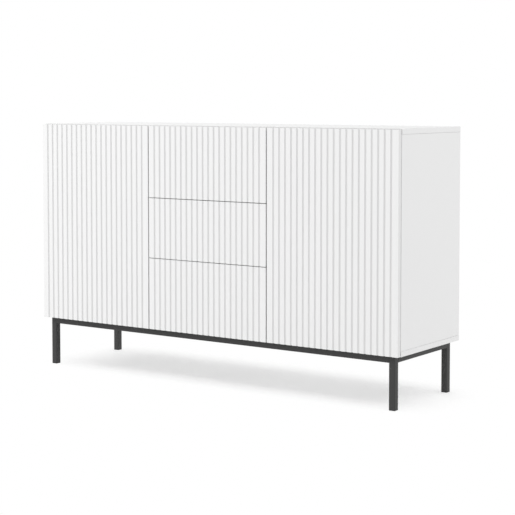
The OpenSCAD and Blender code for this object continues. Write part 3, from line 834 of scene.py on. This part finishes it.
cup_radius = 0.0175
cup_depth = 0.011
cup_drill = 0.03
wing_long = 0.052
for side in ("left", "right"):
    door = fluted_front("fluted_door_" + side, "door_" + side)
    low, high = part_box("door_" + side)
    cup_low, cup_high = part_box("hinge_cups_" + side)
    cup_x = (cup_low[0] + cup_high[0]) / 2
    for cup_z in (cup_low[2] + wing_long / 2, cup_high[2] - wing_long / 2):
        cut_away(door, new_rod("cutter", (cup_x, high[1] - cup_depth, cup_z), "y", cup_drill,
                               cup_radius, sides=48))
    soften(door, foil_radius)
    finish_piece(door, None, "door_" + side, "white_foil", "door_" + side)
for level in levels:
    front = fluted_front("fluted_front_" + level, "drawer_front_" + level)
    soften(front, foil_radius)
    finish_piece(front, None, "drawer_" + level, "white_foil", "drawer_front_" + level)


# ---- Hinges ----
# Concealed 35 mm hinges of pressed nickel-plated steel, two to a door: a cup let into the door, links
# that turn in it, an arm, and a mounting plate held by two screws in the side board.
cup_wall = 0.0008
cup_hollow = 0.02
flange_thick = 0.001
wing_wide = 0.016
wing_corner = 0.006
wing_screw = 0.022
wing_hole_radius = 0.0018
press_radius = 0.0004
link_radius = 0.0002
cup_screw = (0.0032, 0.0012, 0.0015, 0.009)
adjusting_screw = (0.0031, 0.0014, 0.0015, 0.004)


def softened_copy(name, node, radius, steps=2):
    """A new piece with its CAD node's own shape, merged into whole faces, its sharp edges rounded."""
    piece = bpy.data.objects.new(name, nodes[node].data.copy())
    bpy.context.scene.collection.objects.link(piece)
    make_active(piece)
    bpy.ops.mesh.customdata_custom_splitnormals_clear()
    bpy.ops.object.mode_set(mode="EDIT")
    bpy.ops.mesh.select_all(action="SELECT")
    bpy.ops.mesh.remove_doubles(threshold=0.00001)
    bpy.ops.mesh.dissolve_limited(angle_limit=math.radians(0.5))
    bpy.ops.object.mode_set(mode="OBJECT")
    soften(piece, radius, steps, corner=60)
    return piece


def sideways(sign):
    """Turns a piece that stands along +Z so that it points along +X or -X."""
    return Matrix.Rotation(sign * math.pi / 2, 4, "Y")


# Turns a piece that stands along +Z so that it points to the back.
backwards = Matrix.Rotation(-math.pi / 2, 4, "X")


for side in ("left", "right"):
    low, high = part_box("hinge_cups_" + side)
    door_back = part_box("door_" + side)[1][1]
    cup_x = (low[0] + high[0]) / 2
    hinge_levels = (low[2] + wing_long / 2, high[2] - wing_long / 2)
    cup = new_rod("pressed_hinge_cups_" + side, (0, low[1], 0), "y", high[1] - low[1], cup_radius,
                  sides=64)
    wings = new_block("wings", (-wing_wide / 2, door_back, -wing_long / 2),
                      (wing_wide / 2, door_back + flange_thick, wing_long / 2))
    round_corners(wings, "y", wing_corner)
    apply_modifier(cup, "BOOLEAN", operation="UNION", solver="EXACT", object=wings)
    bpy.data.objects.remove(wings)
    hollow = new_rod("hollow", (0, low[1] + cup_wall, 0), "y", cup_hollow, cup_radius - cup_wall,
                     sides=64)
    holes = [new_rod("hole", (0, door_back - drill_spare, up * wing_screw), "y",
                     flange_thick + 2 * drill_spare, wing_hole_radius, sides=24) for up in (-1, 1)]
    cut_away(cup, hollow, *holes)
    soften(cup, press_radius)
    cups = repeat(cup, [Matrix.Translation((cup_x, 0, z)) for z in hinge_levels])
    smooth_shading(cups)
    finish_piece(cups, nickel_plate, "door_" + side, "nickel_steel", "hinge_cups_" + side)

    screws = cross_screw("hinge_cup_screws_" + side, *cup_screw)
    screws = repeat(screws, [Matrix.Translation((cup_x, door_back + flange_thick, z + up * wing_screw))
                             @ backwards for z in hinge_levels for up in (-1, 1)])
    finish_piece(screws, nickel_plate, "door_" + side, "nickel_steel")

    links = softened_copy("riveted_hinge_links_" + side, "hinge_links_" + side, link_radius, steps=1)
    finish_piece(links, nickel_plate, "hinge_links_" + side, "nickel_steel", "hinge_links_" + side)

arms = softened_copy("folded_hinge_arms", "hinge_arms", press_radius)
finish_piece(arms, nickel_plate, "carcass", "nickel_steel", "hinge_arms")
plates = softened_copy("pressed_hinge_plates", "hinge_plates", press_radius)
finish_piece(plates, nickel_plate, "carcass", "nickel_steel", "hinge_plates")

# Each arm has two screws in its web: one in a slot shifts the door sideways, the other in and out.
arm_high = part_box("hinge_arms")[1]
arm_deep = 0.009
arm_top = arm_high[0] - arm_deep
arm_web = 0.0012
arm_slot_along, arm_slot_long, arm_slot_wide, arm_slot_corner = 0.041, 0.012, 0.0068, 0.0033
arm_hole_along, arm_hole_radius = 0.014, 0.0036
adjuster_places = []
for sign in (-1, 1):
    for z in hinge_levels:
        x0, x1 = sorted((sign * (arm_top - drill_spare), sign * (arm_top + arm_web)))
        slot_y = arm_high[1] - arm_slot_along
        slot = new_block("slot", (x0, slot_y - arm_slot_long / 2, z - arm_slot_wide / 2),
                         (x1, slot_y + arm_slot_long / 2, z + arm_slot_wide / 2))
        round_corners(slot, "x", arm_slot_corner)
        hole = new_rod("hole", (x0, arm_high[1] - arm_hole_along, z), "x", x1 - x0, arm_hole_radius)
        cut_away(arms, slot, hole)
        for along in (arm_slot_along, arm_hole_along):
            place = (sign * (arm_top + arm_web), arm_high[1] - along, z)
            adjuster_places.append(Matrix.Translation(place) @ sideways(-sign))
adjusters = repeat(cross_screw("hinge_adjusting_screws", *adjusting_screw), adjuster_places)
finish_piece(adjusters, nickel_plate, "carcass", "nickel_steel")

plate_thick = 0.002
plate_screw_up = 0.016
plate_screw_head = 0.0016
plate_screw_shaft = 0.0025
screw_low, screw_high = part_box("hinge_screws")
screw_y = (screw_low[1] + screw_high[1]) / 2
head_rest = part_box("side_right")[0][0] - plate_thick
screws = cross_screw("hinge_plate_screws", (screw_high[1] - screw_low[1]) / 2, plate_screw_head,
                     plate_screw_shaft, screw_high[0] - head_rest)
screws = repeat(screws, [Matrix.Translation((sign * head_rest, screw_y, z + up * plate_screw_up))
                         @ sideways(-sign) for sign in (-1, 1) for z in hinge_levels for up in (-1, 1)])
finish_piece(screws, nickel_plate, "carcass", "zinc_steel", "hinge_screws")


# ---- Push latches ----
# White plastic housings screwed to the partitions behind the fronts, each with a sprung grey plunger.
# Pressing a front trips the plunger, which pushes the front open.
housing_radius = 0.0006
ear_thick = 0.002
latch_screw_along = 0.033
latch_screw_up = 0.013
latch_screw = (0.0028, 0.0012, 0.0015, 0.012)
tip_thick = 0.0015
tip_overlap = 0.0001
tip_radius = 0.0005
shank_radius = 0.004
housings = softened_copy("moulded_latch_housings", "latch_housings", housing_radius)
finish_piece(housings, white_plastic, "carcass", "white_plastic", "latch_housings")

# The face of the partition that each latch is screwed to: 1 for its right face, -1 for its left.
latch_faces = {"door_left": (-1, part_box("partition_left")[0][0]),
               "door_right": (1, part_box("partition_right")[1][0])}
for level in levels:
    latch_faces[level] = (-1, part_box("partition_right")[0][0])
screw_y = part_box("latch_housings")[0][1] + latch_screw_along
screw_places = []
for name, (sign, face_x) in latch_faces.items():
    low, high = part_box("plunger_" + name)
    for up in (-1, 1):
        place = (face_x + sign * ear_thick, screw_y, (low[2] + high[2]) / 2 + up * latch_screw_up)
        screw_places.append(Matrix.Translation(place) @ sideways(sign))
screws = repeat(cross_screw("latch_screws", *latch_screw), screw_places)
finish_piece(screws, zinc_plate, "carcass", "zinc_steel")

grey_plastic = moulded_plastic("grey_acetal", "#6f7275", "#787b7e", 0.38)
for name in latch_faces:
    low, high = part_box("plunger_" + name)
    x, y, z = (low[0] + high[0]) / 2, low[1], (low[2] + high[2]) / 2
    shank_start = tip_thick - tip_overlap
    shank = new_rod("sprung_plunger_" + name, (x, y + shank_start, z), "y", high[1] - y - shank_start,
                    shank_radius)
    soften(shank, tip_radius)
    tip = new_rod("tip", (x, y, z), "y", tip_thick, (high[2] - low[2]) / 2)
    soften(tip, tip_radius)
    plunger = joined([shank, tip])
    finish_piece(plunger, grey_plastic, "plunger_" + name, "grey_plastic", "plunger_" + name)


# ---- Drawer boxes ----
# Low boxes of 12 mm chipboard in a pale grey foil, dowelled at the corners, with a 3 mm lacquered
# base in a groove. Screws from inside hold the fluted front.
def grey_foil():
    """Printed paper foil on chipboard: a flat pale grey, smoother and duller than the melamine."""
    material, tree, place = new_material("pale_grey_foil")
    print_size = 0.001
    dots = add_node(tree, "ShaderNodeTexNoise", Vector=place, Scale=1 / print_size, Detail=1)
    cloud = add_node(tree, "ShaderNodeTexNoise", Vector=place, Scale=5, Detail=3)
    finish_skin(tree, ("#dededb", "#e3e3e1"), cloud.outputs["Fac"], dots.outputs["Fac"], bump=0.05,
                depth=0.0001, roughness=(0.45, 0.55), IOR=1.5)
    return material


box_board = grey_foil()
box_thick = 0.012
box_radius = 0.0007
front_screw_x = 0.16
front_screw_in = 0.03
front_screw = (0.0035, 0.0015, 0.0018, 0.02)
for level in levels:
    body = "drawer_" + level
    base_low, base_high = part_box("drawer_base_" + level)
    for part, across in (("sides", 0), ("ends", 1)):
        low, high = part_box("drawer_" + part + "_" + level)
        pair = []
        for near, far in ((low[across], low[across] + box_thick), (high[across] - box_thick, high[across])):
            board_low, board_high = list(low), list(high)
            board_low[across], board_high[across] = near, far
            board = new_block("drawer_box_" + part + "_" + level, board_low, board_high)
            soften(board, box_radius)
            cut_away(board, new_block("groove", base_low, base_high))
            pair.append(board)
        finish_piece(joined(pair), box_board, body, "grey_board", "drawer_" + part + "_" + level)
    base = new_block("drawer_base_panel_" + level, base_low, base_high)
    soften(base, panel_edge, steps=1)
    finish_piece(base, fibreboard, body, "white_fibreboard", "drawer_base_" + level)
    screws = cross_screw("drawer_front_screws_" + level, *front_screw)
    screws = repeat(screws, [Matrix.Translation((x, low[1] + box_thick, z)) @ backwards
                             for x in (-front_screw_x, front_screw_x)
                             for z in (base_high[2] + front_screw_in, high[2] - front_screw_in)])
    finish_piece(screws, zinc_plate, body, "zinc_steel")


# ---- Drawer slides ----
# Full-extension slides, 45 mm high: three nested channels rolled from zinc-plated steel on each side.
# The outer one is screwed to the partition, the inner one to the drawer box.
roll_radius = 0.0003
slide_wall = 0.0012
slot_places = (0.06, 0.175, 0.29)
slot_long, slot_wide = 0.03, 0.008
slot_corner = 0.48 * slot_wide
outer_screw = (0.003, 0.0005, 0.0016, 0.012)
inner_screw = (0.0034, 0.0014, 0.0018, 0.01)
inner_screw_end, inner_screw_middle = 0.03, 0.15
lever_start, lever_end = 0.07, 0.125
lever_wide, lever_corner, lever_edge = 0.007, 0.0033, 0.0005
lever_lift, lever_thick = 0.0012, 0.0024
outers = softened_copy("rolled_slide_outers", "slide_outers", roll_radius, steps=1)
finish_piece(outers, zinc_plate, "carcass", "zinc_steel", "slide_outers")
outer_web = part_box("slide_outers")[1][0] - slide_wall
outer_screw_places = []
for level in levels:
    body = "drawer_" + level
    middle_channel = softened_copy("rolled_slide_middle_" + level, "slide_middle_" + level, roll_radius,
                                   steps=1)
    low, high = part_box("slide_middle_" + level)
    centre_z = (low[2] + high[2]) / 2
    slots = []
    for sign in (-1, 1):
        x0, x1 = sorted((sign * (high[0] - 2 * slide_wall), sign * (high[0] + slide_wall)))
        for along in slot_places:
            y = low[1] + along
            slot = new_block("slot", (x0, y - slot_long / 2, centre_z - slot_wide / 2),
                             (x1, y + slot_long / 2, centre_z + slot_wide / 2))
            round_corners(slot, "x", slot_corner)
            slots.append(slot)
            outer_screw_places.append(Matrix.Translation((sign * outer_web, y, centre_z)) @ sideways(-sign))
    cut_away(middle_channel, *slots)
    finish_piece(middle_channel, zinc_plate, "slide_middle_" + level, "zinc_steel", "slide_middle_" + level)
    inner_channel = softened_copy("rolled_slide_inner_" + level, "slide_inner_" + level, roll_radius,
                                  steps=1)
    finish_piece(inner_channel, zinc_plate, body, "zinc_steel", "slide_inner_" + level)

    low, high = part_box("slide_inner_" + level)
    web_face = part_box("drawer_sides_" + level)[1][0] + slide_wall
    screw_rows = (low[1] + inner_screw_end, low[1] + inner_screw_middle, high[1] - inner_screw_end)
    screws = cross_screw("slide_screws_" + level, *inner_screw)
    screws = repeat(screws, [Matrix.Translation((sign * web_face, y, centre_z)) @ sideways(sign)
                             for sign in (-1, 1) for y in screw_rows])
    finish_piece(screws, zinc_plate, body, "zinc_steel")
    levers = []
    for sign in (-1, 1):
        x0, x1 = sorted((sign * (web_face + lever_lift), sign * (web_face + lever_lift + lever_thick)))
        lever = new_block("slide_release_levers_" + level,
                          (x0, low[1] + lever_start, centre_z - lever_wide / 2),
                          (x1, low[1] + lever_end, centre_z + lever_wide / 2))
        round_corners(lever, "x", lever_corner)
        soften(lever, lever_edge)
        levers.append(lever)
    finish_piece(joined(levers), black_plastic, body, "black_plastic")
screws = repeat(cross_screw("slide_outer_screws", *outer_screw), outer_screw_places)
finish_piece(screws, zinc_plate, "carcass", "zinc_steel")

low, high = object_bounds()
